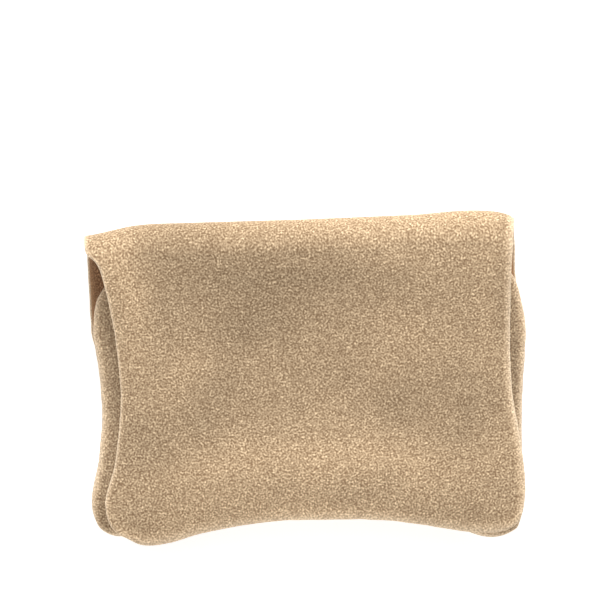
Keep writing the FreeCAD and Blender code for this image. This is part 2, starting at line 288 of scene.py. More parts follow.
def swells(x, y):
    """Height that the swells and the smooth noise add. The last number of each Vector only picks a pattern."""
    wave = noise.noise(Vector((x / (17 * MM), y / (14 * MM), 3.7)))
    ripple = noise.noise(Vector((x / (6 * MM), y / (5 * MM), 8.1)))
    return (soft_sum(SWELLS, x, y) - SETTLE + WAVE_HEIGHT * wave + RIPPLE_HEIGHT * ripple) * MM


print(f"{len(SWELLS)} swells; the ridge near the lower edge adds {swells(0, -28 * MM) / MM:.2f} mm")

# %% [markdown]
# ## Painted light and shade on the suede
# These soft strokes are painted light and shade: a brighter band where the fold's top faces the lamp, darker
# patches where the flap turns away from it, and a few soft creases. 0.1 is a tenth brighter. Vertex paint
# could hold them, but a list of strokes can be read. Their sum is kept on the mesh as a value which the suede's
# material reads.

# %% Painted light and shade strokes
# Painted light and shade: a bright band along the top of the fold, darker patches below it where the flap turns
# from the lamp, and a dark dent near the top right.
LIGHT_AND_SHADE_STROKES = [  # x, y, direction in degrees, length, width, strength; millimetres
    (28, 42, 2, 45, 5.5, 0.27), (0, 27, 178, 42, 8, -0.21), (0, -22, 2, 42, 7, 0.33), (0, -34, 0, 60, 6, 0.26),
    (-50, 24, 100, 16, 7, 0.38), (-15, 18, 170, 28, 11, -0.16), (30, -5, 10, 24, 9, -0.14),
    (2, -1, 0, 20, 7, -0.09), (-46, -20, 60, 14, 7, -0.14), (-27, -8, 56, 16, 5, -0.14),
    (34, -28, 0, 14, 7, 0.24), (-24, -30, 10, 10, 5, 0.16), (-45, 18, 95, 13, 5, 0.14),
    (-33, 4, 62, 10, 5, 0.14), (-19, 13, 10, 14, 5, -0.12), (48, 22, 92, 14, 5, 0.19), (30, 34, 2, 18, 5, 0.10),
    (12, -9, 150, 14, 7, 0.13), (4, -22, 0, 15, 8, 0.13), (2, -35, 0, 20, 7, 0.14), (42, -13, 60, 11, 6, -0.13),
    (-40, -22, 60, 7, 5, -0.10), (24, 8, 30, 10, 7, 0.06), (-35, -38, 8, 14, 5, 0.16),
    (-34, 40, 4, 16, 5, -0.08), (24, -11, 150, 9, 6, -0.06), (-27, -19, 60, 8, 6, -0.06),
    (54, 42, 90, 3, 2, -0.2),
]
# Painted shadow on the pocket along the flap's left and right edges, where the flap hangs over it.
POCKET_SHADOW_STROKES = [
    (-51.5, -3, 92, 26, 2.2, -0.18), (-54.5, -33, 84, 10, 2.2, -0.16), (56, 4, 90, 26, 1.8, -0.27)]
print(f"{len(LIGHT_AND_SHADE_STROKES)} strokes on the flap and {len(POCKET_SHADOW_STROKES)} on the pocket")

# %% [markdown]
# ## The flap's height
# The flap lies over the full pocket and the snap, so it is highest in the middle. Towards the fold it
# levels out to the fold's own height. A simulated cloth could be dropped on the pocket, but it would settle
# differently each time something changed. One formula adds these heights up instead, with the swells on
# top. The swells fade out at the edges, over the snap's stiff metal and before the fold, and a soft cap
# keeps all of it under the fold's height.

# %% Height of the flap's outer face
LEVEL_FROM = 6 * MM  # up from here the flap levels out towards the fold
SNAP_STIFF = 6 * MM  # the leather is smooth this far from the snap's centre
SWELL_FADE = 9 * MM  # distance over which the swells fade out
CAP_KNEE = 0.9 * MM  # how far under the fold's height the cap begins
EDGE_ROUND = 1.2 * MM  # width of the rounded last stretch of a turned edge
FLAP_DROP, POCKET_DROP = 0.3 * MM, 0.35 * MM


def edge_drop(edge, drop):
    """How far a turned edge has fallen away at this distance from it."""
    return drop * max(0.0, 1 - edge / EDGE_ROUND) ** 2


def flap_top(x, y, edge):
    """Height of the flap's outer face. edge is the distance from its nearest free edge."""
    belly = SEAM_TOP + POCKET_RISE + SNAP_STACK + FLAP_STACK
    draped = FLAP_EDGE + (belly - FLAP_EDGE) * pillow(flap_edges, x, min(y, MOUTH_Y), **FLAP_PILLOW)
    arc = fold_y(x) - FLAP_REACH
    level = ease((y - LEVEL_FROM) / (arc - LEVEL_FROM))
    calm = ease(((Vector((x, y)) - SNAP_CENTRE.xy).length - SNAP_STIFF) / SWELL_FADE)
    soft = swells(x, y) * ease(edge / SWELL_FADE) * calm * ease((arc - y) / SWELL_FADE)
    height = draped * (1 - level) + fold_top(x) * level + soft
    over = max(0.0, 1 + (height - FOLD_HEIGHT) / CAP_KNEE)
    height -= CAP_KNEE * (over - 1 + math.exp(-over))
    return height - edge_drop(edge, FLAP_DROP)


print(f"belly at {flap_top(0, -0.011, 0.02) / MM:.2f} mm, flap edge at {flap_top(-0.05, 0, 0) / MM:.2f} mm")

# %% [markdown]
# ## From flat cut to folded sheet
# A lift function takes a point of the flat cut to its place on the wallet. A bend modifier could fold the
# leather, but its line is straight and its radius is the same everywhere. Here, below the fold, only the
# height is added. Nearer the top the point goes round the fold: a quarter turn and then a short straight
# stretch to the fold's middle line, where the back and the flap meet. The flap's padding makes its quarter
# turn longer than the back's.


# %% Lifting the flap, the back and the pocket
def round_fold(x, y, top, middle, reach, sign):
    """Place of a point that is past the start of the fold. sign is 1 on the flap's side, -1 on the back's."""
    line = fold_y(x)
    along = y - (line - reach)
    quarter = math.pi / 2 * math.sqrt((reach ** 2 + FOLD_RADIUS ** 2) / 2)
    if along < quarter:
        turn = along / quarter * math.pi / 2
        inwards, down = reach * (1 - math.sin(turn)), FOLD_RADIUS * (1 - math.cos(turn))
        return Vector((x, line - inwards, top - sign * down))
    rest = (along - quarter) / (UNROLL + reach - quarter)
    return Vector((x, line, top - sign * (FOLD_RADIUS + (abs(top - middle) - FOLD_RADIUS) * rest)))


def lift_flap(x, y, edge):
    if y > fold_y(x) - FLAP_REACH:
        return round_fold(x, y, fold_top(x), fold_top(x) / 2, FLAP_REACH, 1)
    return Vector((x, y, flap_top(x, y, edge)))


def lift_back(x, y, edge):
    if y > fold_y(x) - FOLD_RADIUS:
        return round_fold(x, y, 0.0, fold_top(x) / 2, FOLD_RADIUS, -1)
    return Vector((x, y, 0.0))


def lift_pocket(x, y, edge):
    return Vector((x, y, pocket_top(x, y) - edge_drop(edge, POCKET_DROP)))


top_of_cut = fold_edge(0.5)
for lift in (lift_flap, lift_back):
    print(lift.__name__, "ends on the middle line at", [round(c / MM, 2) for c in lift(*top_of_cut, 0)], "mm")

# %% [markdown]
# ## A sheet with real thickness
# A plane with a Solidify modifier would be the usual way to make a leather sheet. Here the mesh has to
# carry values for the materials on its raw edge too, so the thickness is made with bmesh operators.
# Blender's grid gives the faces, the four soft edges place them (a Coons patch), a lift function bends
# them, and the solidify operator thickens the sheet inwards. Near a cut edge the mesh carries a `rim`
# value, which the material uses for the pale raw edge, partly rubbed wear and partly painted rim light. The
# middle line of the fold is kept sharp and creased, so that the back and the flap shade as one skin where they
# meet.


# %% Filling a cut and finishing a mesh
def patch(edges, u, w):
    """Place on the flat cut at share u across it and share w up it."""
    bottom, top, left, right = edges
    corners = ((1 - u) * (1 - w) * bottom(0) + u * (1 - w) * bottom(1) + (1 - u) * w * top(0) + u * w * top(1))
    return (1 - w) * bottom(u) + w * top(u) + (1 - u) * left(w) + u * right(w) - corners


def cut_size(edges):
    """Width and length of a cut, along its two middle lines."""
    wide = float(np.linalg.norm(patch(edges, 1, 0.5) - patch(edges, 0, 0.5)))
    tall = float(np.linalg.norm(patch(edges, 0.5, 1) - patch(edges, 0.5, 0)))
    return wide, tall


def finish_mesh(name, bm, smooth=1):
    """A Blender object from a bmesh, at the origin, with a subdivision surface on it where asked."""
    for f in bm.faces:
        f.smooth = True
    mesh = bpy.data.meshes.new(name)
    bm.to_mesh(mesh)
    bm.free()
    piece = bpy.data.objects.new(name, mesh)
    bpy.context.scene.collection.objects.link(piece)
    if smooth:
        soft = piece.modifiers.new("soft", "SUBSURF")
        soft.levels = soft.render_levels = smooth
    print(f"{name}: {len(mesh.polygons)} faces before smoothing")
    return piece


for name, edges in (("back", back_edges), ("pocket", pocket_edges), ("flap", flap_edges)):
    print(f"the {name}'s cut measures", [round(side / MM, 1) for side in cut_size(edges)], "mm")

# %% Making a sheet
WOBBLE, WOBBLE_REACH, WOBBLE_SIZE = 0.16 * MM, 3 * MM, 2.6 * MM  # how a hand-cut edge wanders
PALE_BAND = 1.8  # millimetres of pale edge band, partly rubbed leather and partly painted rim light
RUB_AND_RIM_LIGHT = 0.6  # how much brighter the nap is there, from rubbing and from painted rim light
RISE_FROM, RISE_OVER = 0.85, 0.11  # where a sheet starts to rise and over how much, in shares of its length
CLOSE_OVER = 1.5 * MM  # distance over which a sheet rises to close a free edge
WALL_SLANT = Vector((0.8, 0.6, 0))  # which way the pattern runs on across a raw edge
LAST_ROW = 0.9999  # share of the length past which a vertex lies on the fold's middle line


def wobbled(x, y, edge):
    """A place on the flat cut, moved a little if it lies near the edge."""
    wobble = WOBBLE * max(0.0, 1 - edge / WOBBLE_REACH)
    x += wobble * noise.noise(Vector((x, y, 0)) / WOBBLE_SIZE)
    y += wobble * noise.noise(Vector((x, y, 0.01)) / WOBBLE_SIZE)
    return x, y


def thicken(bm, thickness, ends, cut):
    """Turn the bent skin into a sheet with a wall all round, and keep the fold's middle line sharp."""
    outer = len(bm.verts)
    bmesh.ops.solidify(bm, geom=bm.faces[:], thickness=thickness)
    bm.verts.ensure_lookup_table()
    for v in bm.verts[outer:]:
        v[cut] += WALL_SLANT * thickness
    bmesh.ops.recalc_face_normals(bm, faces=bm.faces[:])
    crease = bm.edges.layers.float.new("crease_edge")
    for e in bm.edges:
        if e.verts[0][ends] and e.verts[1][ends]:
            e.smooth, e[crease] = False, 1.0


def make_sheet(name, edges, lift, thickness, depth=0.0, inset=0.0, cell=1.5 * MM, part=(0.0, 1.0),
               open_top=False, flip=False, strokes=(), rise=0.0, worn_and_lit=(PALE_BAND,) * 3):
    """A sheet of leather or cloth. depth is how far its outer face lies under the lifted surface, and part is
    the share of the cut's length that it covers, from the bottom edge up. open_top is for a sheet that ends in
    the fold's middle line. rise brings it nearer the lifted surface by that line and by the free edges, where
    there is no fleece. The widths given for the left, right and bottom edges say how wide the pale band is
    there, in millimetres: it is partly rubbed wear and partly painted rim light. strokes adds painted light
    and shade."""
    wide, tall = cut_size(edges)
    bm = bmesh.new()
    bmesh.ops.create_grid(bm, x_segments=max(4, round(wide / cell)),
                          y_segments=max(3, round(tall * (part[1] - part[0]) / cell)), size=0.5)
    rim = bm.verts.layers.float.new("rim")
    ends = bm.verts.layers.float.new("fold_end")
    painted_light_and_wear = bm.verts.layers.float.new("painted_light_and_wear")
    cut = bm.verts.layers.float_vector.new("cut")
    low = part[0] + (inset / tall if part[0] == 0 else 0)
    high = part[1] - (0 if open_top or part[1] < 1 else inset / tall)
    deep = []
    for v in bm.verts:
        share = v.co.y + 0.5
        u = (v.co.x + 0.5) * (1 - 2 * inset / wide) + inset / wide
        w = low + share * (high - low)
        near = [u * wide, (1 - u) * wide, w * tall] + ([] if open_top else [(1 - w) * tall])
        edge = max(0.0, min(near))
        x, y = wobbled(*patch(edges, u, w), edge - inset)
        v.co = lift(x, y, edge)
        bands = [(d - inset) / (width * MM) for d, width in zip(near, worn_and_lit + (PALE_BAND,))]
        v[rim] = max(0.0, 1 - min(bands))
        v[ends] = 1.0 if open_top and share > LAST_ROW else 0.0
        # Painted light and shade from the strokes, plus the pale edge band: partly rubbed wear, partly painted
        # rim light.
        v[painted_light_and_wear] = soft_sum(strokes, x, min(y, fold_y(x))) + (RUB_AND_RIM_LIGHT * v[rim] if strokes else 0.0)
        v[cut] = (x, y, 0)
        closed = 1 - ease((edge - inset) / CLOSE_OVER)
        deep.append(depth - rise * max(closed, ease((w - RISE_FROM) / RISE_OVER)))
    if flip:
        bmesh.ops.reverse_faces(bm, faces=bm.faces)
    bm.normal_update()
    for v, d in zip(bm.verts, deep):
        v.co -= v.normal * d
    thicken(bm, thickness, ends, cut)
    return finish_mesh(name, bm)


# %% [markdown]
# ## The suede
# The back, the fold and the flap are one hide on the real wallet. They could be one mesh, but they are two
# pieces here, which meet in the middle of the fold, because each of them bends across one hinge. The
# pocket's front is its own piece of suede, sewn on round its sides and bottom, and a narrow facing of suede
# lines its mouth. The flap's bottom edge has the widest pale band, which is partly rubbed wear and partly
# painted rim light.

# %% The suede pieces
FACING_FROM = 0.84
suede_back = make_sheet("suede_back", back_edges, lift_back, SUEDE, open_top=True, flip=True)
# The flap carries the painted light and shade strokes, and the pocket the painted shadow along the flap's
# edges.
suede_flap = make_sheet("suede_flap", flap_edges, lift_flap, SUEDE, open_top=True, strokes=LIGHT_AND_SHADE_STROKES,
                        worn_and_lit=(1.6, 3.0, 4.2))
suede_pocket = make_sheet("suede_pocket", pocket_edges, lift_pocket, SUEDE, strokes=POCKET_SHADOW_STROKES,
                          worn_and_lit=(3.0, 2.4, 2.4))
mouth_facing = make_sheet("mouth_facing_suede", pocket_edges, lift_pocket, LINING,
                          depth=2 * GLUE + SUEDE + FLEECE, inset=1.0 * MM, part=(FACING_FROM, 1.0))

# %% [markdown]
# ## Linings and fleece
# The lining is a dark brown cloth glued to the back of the suede, with a thin fleece between them in the
# flap and in the pocket's front. An inner layer could be a second material on the same mesh, but then the
# raw edge would show no layers. So each is a sheet of its own from the same cut, pulled in a little from
# the edge and set deeper. They show less than the suede does, so their grids are coarser.

# %% The linings and the fleece
COARSE = 2.4 * MM
LINING_TO, FLEECE_TO = 0.835, 0.84
UNDER_SUEDE, UNDER_FLEECE = SUEDE + GLUE, SUEDE + FLEECE + 2 * GLUE
lining_back = make_sheet("lining_back", back_edges, lift_back, LINING, depth=UNDER_SUEDE, inset=0.5 * MM,
                         cell=COARSE, open_top=True, flip=True)
lining_flap = make_sheet("lining_flap", flap_edges, lift_flap, LINING, depth=UNDER_FLEECE, inset=0.5 * MM,
                         cell=1.9 * MM, open_top=True, rise=FLEECE + GLUE)
lining_pocket = make_sheet("lining_pocket", pocket_edges, lift_pocket, LINING, depth=UNDER_FLEECE,
                           inset=3.5 * MM, cell=COARSE, part=(0.0, LINING_TO))
fleece_flap = make_sheet("fleece_flap", flap_edges, lift_flap, FLEECE, depth=UNDER_SUEDE, inset=2.0 * MM,
                         cell=COARSE, part=(0.0, FLEECE_TO))
fleece_pocket = make_sheet("fleece_pocket", pocket_edges, lift_pocket, FLEECE, depth=UNDER_SUEDE,
                           inset=4.0 * MM, cell=COARSE)

# %% [markdown]
# ## The back and the flap, and the other sheets' bodies
# The back's and the flap's suede and linings are baked into the wallet's own frame, where both end on the
# fold's middle line, and the CAD sheets that they stand for are hidden. The pocket's sheets and the flap's
# fleece are tied to the pouch's and the flap's bodies, and their CAD nodes are hidden too.

# %% Tie the sheets to their bodies
for piece, node in ((suede_back, "back_panel"), (lining_back, "back_lining")):
    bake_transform(piece)
    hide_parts(node)
for piece, nodes in (
    (suede_flap, ["flap_panel", "fold_panel"]), (lining_flap, ["flap_lining", "fold_lining"]),
):
    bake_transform(piece)
    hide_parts(*nodes)
for piece, body, node in (
    (suede_pocket, "pouch", "pocket_front"), (mouth_facing, "pouch", "mouth_facing"),
    (lining_pocket, "pouch", "pocket_lining"), (fleece_pocket, "pouch", "pocket_interlining"),
    (fleece_flap, "flap", "flap_interlining"),
):
    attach(piece, body)
    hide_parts(node)

# %% [markdown]
# ## Card slots
# Two thin leather leaves are stitched to the back lining inside the pocket, one in front of the other. Each
# has a shallow thumb notch in the middle of its top edge. A notch could be cut out of a flat plate with a
# boolean, but drawn as a soft top edge it keeps a clean grid, which can then puff up a little. Their places
# and sizes are those of their CAD nodes.

# %% Making a card slot
NOTCH_HALF, NOTCH_DEPTH, NOTCH_POWER = 8 * MM, 3.6 * MM, 1.5
PUFF, PUFF_OVER, MOUTH_OVER = 0.35 * MM, 9 * MM, 6 * MM
MOUTH_PUFF = 0.4  # share of the puff that is left at the slot's mouth


def notched(x, top):
    """Where a leaf's top edge runs, with a round dip in the middle."""
    if abs(x) >= NOTCH_HALF:
        return top
    return top - NOTCH_DEPTH * math.cos(math.pi / 2 * (abs(x) / NOTCH_HALF)) ** NOTCH_POWER


def drawn(points, passes):
    """A soft line through points in metres."""
    return soft_line([(x / HALF_WIDTH, y / HALF_LENGTH) for x, y in points], passes)


def slot_edges(node):
    low, high = box_corners(node)
    return (drawn([(low.x, low.y), (0, low.y), (high.x, low.y)], 2),
            drawn([(x, notched(x, high.y)) for x in np.linspace(low.x, high.x, 41)], 12),
            drawn([(low.x, low.y), (low.x, 0), (low.x, high.y)], 2),
            drawn([(high.x, low.y), (high.x, 0), (high.x, high.y)], 2))


def make_card_slot(name, node):
    low, high = box_corners(node)

    def lie(x, y, edge):
        puff = PUFF * ease(edge / PUFF_OVER) * ease((high.y - y) / MOUTH_OVER + MOUTH_PUFF)
        return Vector((x, y, high.z + puff))

    piece = make_sheet(name, slot_edges(node), lie, high.z - low.z, cell=1.7 * MM)
    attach(piece, "pouch")
    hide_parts(node)
    return piece


slot_rear = make_card_slot("card_slot_rear_leather", "card_slot_rear")
slot_front = make_card_slot("card_slot_front_leather", "card_slot_front")

# %% [markdown]
# ## Stitches
# A machine stitch lies in the leather with both ends pulled down into their holes, so a long thin ball half
# sunk in the surface is a truer shape than a tube along a curve. One small ball is made for each stitch,
# turned to follow its row. The seams round the flap and the pouch are sewn inside out and then turned, so
# their threads lie between the layers, and only the rows at the mouth and on the card slots show.

# %% Making a row of stitches
STITCH_PITCH, STITCH_LENGTH, THREAD_RADIUS = 4.0 * MM, 3.1 * MM, 0.24 * MM


def one_stitch(bm, place, along):
    """A long thin ball at one place, turned to lie along its row."""
    ball = bmesh.ops.create_uvsphere(bm, u_segments=7, v_segments=6, radius=1.0)["verts"]
    bmesh.ops.scale(bm, verts=ball, vec=(THREAD_RADIUS, THREAD_RADIUS, STITCH_LENGTH / 2))
    bmesh.ops.rotate(bm, verts=ball, matrix=along.to_track_quat("Z", "Y").to_matrix())
    bmesh.ops.translate(bm, verts=ball, vec=place)


def stitch_row(name, rows, body, node):
    """Stitches along each row, a list of places that are close together."""
    bm = bmesh.new()
    count = 0
    for row in rows:
        row = np.array([tuple(p) for p in row])
        length = run_length(row)
        place = lambda d: Vector([np.interp(d, length, row[:, k]) for k in range(3)])
        for middle in np.arange(STITCH_PITCH / 2, length[-1] - STITCH_PITCH / 4, STITCH_PITCH):
            along = (place(middle + STITCH_LENGTH / 2) - place(middle - STITCH_LENGTH / 2)).normalized()
            one_stitch(bm, place(middle), along)
            count += 1
    print(f"{name}: {count} stitches")
    piece = finish_mesh(name, bm, smooth=0)
    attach(piece, body)
    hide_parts(node)
    return piece


def along_cut(edges, lift, top, inset, depth):
    """Places along the cut's sides, up to the share top, and its bottom, inset from its edge and depth below
    its outer face."""
    wide, tall = cut_size(edges)
    du, dw = inset / wide, inset / tall
    down = [(du, w) for w in np.linspace(top, dw, 80)]
    across = [(u, dw) for u in np.linspace(du, 1 - du, 100)]
    up = [(1 - du, w) for w in np.linspace(dw, top, 80)]
    return [lift(*patch(edges, u, w), inset) - Vector((0, 0, depth)) for u, w in down + across + up]


# %% The flap's seam, the pouch's seam and the mouth
FLAP_SEAM_IN, FLAP_SEAM_DEPTH, FLAP_SEAM_TOP = 1.5 * MM, 1.42 * MM, 0.8
POUCH_SEAM_IN, POUCH_SEAM_TOP = 2.2 * MM, 0.85
MOUTH_ROW, MOUTH_ENDS, THREAD_PROUD = 0.968, (0.07, 0.93), 0.05 * MM
flap_row = along_cut(flap_edges, lift_flap, FLAP_SEAM_TOP, FLAP_SEAM_IN, FLAP_SEAM_DEPTH)
flap_thread = stitch_row("flap_seam_thread", [flap_row], "flap", "flap_seam_stitching")
seam_row = [Vector((p.x, p.y, LINING_TOP + THREAD_RADIUS))
            for p in along_cut(pocket_edges, lift_pocket, POUCH_SEAM_TOP, POUCH_SEAM_IN, 0)]
pouch_thread = stitch_row("pouch_seam_thread", [seam_row], "pouch", "pouch_seam_stitching")
mouth_row = [lift_pocket(*patch(pocket_edges, u, MOUTH_ROW), POUCH_SEAM_IN) + Vector((0, 0, THREAD_PROUD))
             for u in np.linspace(*MOUTH_ENDS, 120)]
mouth_thread = stitch_row("mouth_thread", [mouth_row], "pouch", "mouth_stitching")

# %% The card slots' stitches
SLOT_ROW_IN, SLOT_FOOT_IN, SLOT_THREAD_PROUD = 1.2 * MM, 2 * MM, 0.08 * MM
REAR_ROW_GAP = 1.5 * MM  # between the front leaf's top edge and the rear leaf's own rows
rear_high = box_corners("card_slot_rear")[1]
front_low, front_high = box_corners("card_slot_front")
front_z, rear_z = front_high.z + SLOT_THREAD_PROUD, rear_high.z + SLOT_THREAD_PROUD
foot_y, rear_row_y = front_low.y + SLOT_ROW_IN, front_high.y + REAR_ROW_GAP
slot_rows = []
for side in (-1, 1):
    x = side * (front_high.x - SLOT_ROW_IN)
    slot_rows.append([Vector((x, y, front_z)) for y in np.linspace(foot_y, front_high.y, 30)])
    slot_rows.append([Vector((x, y, rear_z)) for y in np.linspace(rear_row_y, rear_high.y, 20)])
slot_rows.append([Vector((x, foot_y, front_z))
                  for x in np.linspace(front_low.x + SLOT_FOOT_IN, front_high.x - SLOT_FOOT_IN, 50)])
slot_thread = stitch_row("card_slot_thread", slot_rows, "pouch", "card_slot_stitching")

# %% [markdown]
# ## The magnetic snap
# The two halves are pressed steel cups with an antique brass finish. They could be cylinders with holes cut
# in them, but a pressed cup is round, so its section is drawn once and spun. A bevel modifier takes the
# sharpness off every lip. The magnet, plates and washers stay as the CAD made them, because little of them
# shows.

# %% Spinning the snap's two halves
LIP_ROUND, LIP_ANGLE, SPIN_STEPS = 0.16 * MM, math.radians(35), 64


def spun(name, section, centre, body, node):
    """A closed section of (radius, height) points in millimetres, spun about the vertical through centre."""
    bm = bmesh.new()
    ring = [bm.verts.new((r * MM, 0, z * MM)) for r, z in section]
    edges = [bm.edges.new((a, b)) for a, b in zip(ring, ring[1:] + ring[:1])]
    bmesh.ops.spin(bm, geom=ring + edges, cent=(0, 0, 0), axis=(0, 0, 1), angle=2 * math.pi, steps=SPIN_STEPS,
                   use_merge=True, use_duplicate=False)
    bmesh.ops.remove_doubles(bm, verts=bm.verts, dist=1e-7)
    bmesh.ops.recalc_face_normals(bm, faces=bm.faces[:])
    bmesh.ops.translate(bm, verts=bm.verts, vec=centre)
    piece = finish_mesh(name, bm, smooth=0)
    lip = piece.modifiers.new("lips", "BEVEL")
    lip.width, lip.segments, lip.limit_method, lip.angle_limit = LIP_ROUND, 3, "ANGLE", LIP_ANGLE
    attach(piece, body)
    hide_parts(node)
    return piece


# %% The socket's cup and the stud's disc
cup_height = (SNAP_HIGH.z - SNAP_LOW.z) / MM
cup_radius = (SNAP_HIGH.x - SNAP_LOW.x) / 2 / MM
socket_cup = spun("snap_socket_cup", [
    (2.6, 0.3), (2.6, cup_height - 0.22), (3.4, cup_height - 0.22), (3.7, cup_height),
    (cup_radius - 0.9, cup_height), (cup_radius - 0.15, cup_height - 0.45), (cup_radius, 0.35),
    (cup_radius, 0), (cup_radius - 0.25, 0), (cup_radius - 0.25, cup_height - 0.6),
    (3.0, cup_height - 0.55), (2.85, 0.3)],
    (SNAP_CENTRE.x, SNAP_CENTRE.y, SNAP_LOW.z), "pouch", "snap_socket_cap")
stud_low, stud_high = box_corners("snap_stud_cap")
stud_height = (stud_high.z - stud_low.z) / MM
stud_cup = spun("snap_stud_disc", [
    (0, 0), (1.55, 0), (1.9, 0.3), (1.9, stud_height - 0.55), (2.4, stud_height - 0.55),
    (2.6, stud_height - 0.45), (5.4, stud_height - 0.45), (5.7, stud_height - 0.55), (6.6, stud_height - 0.55),
    (7.0, stud_height - 0.3), (7.0, stud_height), (0, stud_height)],
    (SNAP_CENTRE.x, SNAP_CENTRE.y, stud_low.z), "flap", "snap_stud_cap")

# %% [markdown]
# ## Finishes: small helpers
# A material is a tree of nodes. Each could be clicked together by hand, but a few helpers let the script
# say what a finish is made of in one line per step: add a node, do a sum, mix two colours, or read a noise.


# %% Node helpers
def add_node(tree, kind, **settings):
    """A new node. Each setting is a property of the node, or else the value of one of its inputs."""
    n = tree.nodes.new(kind)
    for key, value in settings.items():
        if hasattr(n, key):
            setattr(n, key, value)
        else:
            n.inputs[key.replace("_", " ")].default_value = value
    return n


def feed(tree, socket, value):
    """Give an input a link or a plain value."""
    if isinstance(value, bpy.types.NodeSocket):
        tree.links.new(value, socket)
    else:
        socket.default_value = value


def math_node(tree, operation, a, b, c=None, clamp=False):
    n = add_node(tree, "ShaderNodeMath", operation=operation, use_clamp=clamp)
    for socket, value in zip(n.inputs, (a, b) if c is None else (a, b, c)):
        feed(tree, socket, value)
    return n.outputs[0]


def mix_colour(tree, factor, a, b, blend="MIX"):
    n = add_node(tree, "ShaderNodeMix", data_type="RGBA", blend_type=blend)
    for socket, value in ((n.inputs[0], factor), (n.inputs[6], a), (n.inputs[7], b)):
        feed(tree, socket, value)
    return n.outputs[2]


def noise_at(tree, vector, scale, detail, distortion, roughness=0.5, offset=0.0):
    """Smooth noise from 0 to 1. offset moves it, so that two layers of it don't line up."""
    n = add_node(tree, "ShaderNodeTexNoise", noise_type="FBM", normalize=True, Detail=detail,
                 Distortion=distortion, Roughness=roughness)
    if offset:
        move = add_node(tree, "ShaderNodeVectorMath", operation="ADD")
        tree.links.new(vector, move.inputs[0])
        move.inputs[1].default_value = (offset, offset * 0.7, -offset * 0.4)
        vector = move.outputs[0]
    tree.links.new(vector, n.inputs["Vector"])
    feed(tree, n.inputs["Scale"], scale)
    return n.outputs[0]


# %% [markdown]
# ## The nap as a node group
# The nap of suede is thousands of short curled fibres. Real hairs would be far too many, and plain noise
# gives round clouds, while a ridged one gives a net. Gabor noise draws short curved bands that all have one
# width and lie in every direction, which is what the fibres look like from an arm's length. Three sizes of
# cloud are added to the bands, so that no two fibres are alike, and a power keeps the bright tips few. The
# same group serves the suede, the lining and the fleece with other sizes. It gives a fibre mask, a soft
# mottle for the way the nap was last brushed, and a height.

# %% The nap group
BAND_SCALE, BAND_FREQUENCY, BAND_WEIGHT = 0.95, 1.15, 0.5
CLOUDS = ((1.8, 0.42, 0.0), (0.85, 0.17, 0.013), (0.34, 0.04, 0.029))  # scale, weight, offset
FIBRE_MIDDLE, TIP_POWER = 0.42, 1.5
nap = bpy.data.node_groups.new("nap", "ShaderNodeTree")
nap.interface.new_socket("Vector", in_out="INPUT", socket_type="NodeSocketVector")
for name in ("Fibre Size", "Contrast"):
    nap.interface.new_socket(name, in_out="INPUT", socket_type="NodeSocketFloat").default_value = 1.0
for name in ("Fibre", "Mottle", "Height"):
    nap.interface.new_socket(name, in_out="OUTPUT", socket_type="NodeSocketFloat")
nap_in, nap_out = add_node(nap, "NodeGroupInput"), add_node(nap, "NodeGroupOutput")
nap_place = nap_in.outputs["Vector"]
per_metre = math_node(nap, "DIVIDE", 1000.0, nap_in.outputs["Fibre Size"])
bands = add_node(nap, "ShaderNodeTexGabor", gabor_type="2D", Frequency=BAND_FREQUENCY, Anisotropy=0.0)
nap.links.new(math_node(nap, "MULTIPLY", per_metre, BAND_SCALE), bands.inputs["Scale"])
nap.links.new(nap_place, bands.inputs["Vector"])
layers = [(bands.outputs["Value"], BAND_WEIGHT)]
for scale, weight, offset in CLOUDS:
    size = math_node(nap, "MULTIPLY", per_metre, scale)
    layers.append((noise_at(nap, nap_place, size, 0.0, 0.3, offset=offset), weight))
total = 0.0
for value, weight in layers:
    total = math_node(nap, "MULTIPLY_ADD", math_node(nap, "SUBTRACT", value, 0.5), weight, total)
fibre = math_node(nap, "MULTIPLY_ADD", total, nap_in.outputs["Contrast"], FIBRE_MIDDLE, clamp=True)
finest_cloud = layers[1][0]
nap.links.new(math_node(nap, "POWER", fibre, TIP_POWER), nap_out.inputs["Fibre"])
nap.links.new(noise_at(nap, nap_place, 90.0, 3.0, 0.8, roughness=0.55), nap_out.inputs["Mottle"])
nap.links.new(finest_cloud, nap_out.inputs["Height"])
print("nap group:", len(nap.nodes), "nodes")

# %% [markdown]
# ## Finishes: the leathers and cloths
# One function makes every napped finish, because suede, lining and fleece differ only in colour and size.
# The colour goes from a ground between the fibres to the lit fibre tips. The mottle shades it, the strokes
# add painted light and shade, and the `rim` value of a cut edge pales it, partly as rubbed wear and partly
# as painted rim light. The height goes to a Bump node. Suede also needs sheen, because its upright fibres
# catch light at the turn of a surface.

# %% Napped finishes
# The pale edge is partly rubbed wear and partly painted rim light.
EDGE_POWER, EDGE_PALE, EDGE_FIBRE = 1.8, 0.5, 0.45  # how fast an edge's paleness fades, and how strong it is
MOTTLE = 0.1


def colour(r, g, b):
    """A linear colour from the usual red, green and blue of 0 to 255."""
    shares = [c / 255 for c in (r, g, b)]
    return tuple(((c + 0.055) / 1.055) ** 2.4 for c in shares) + (1.0,)


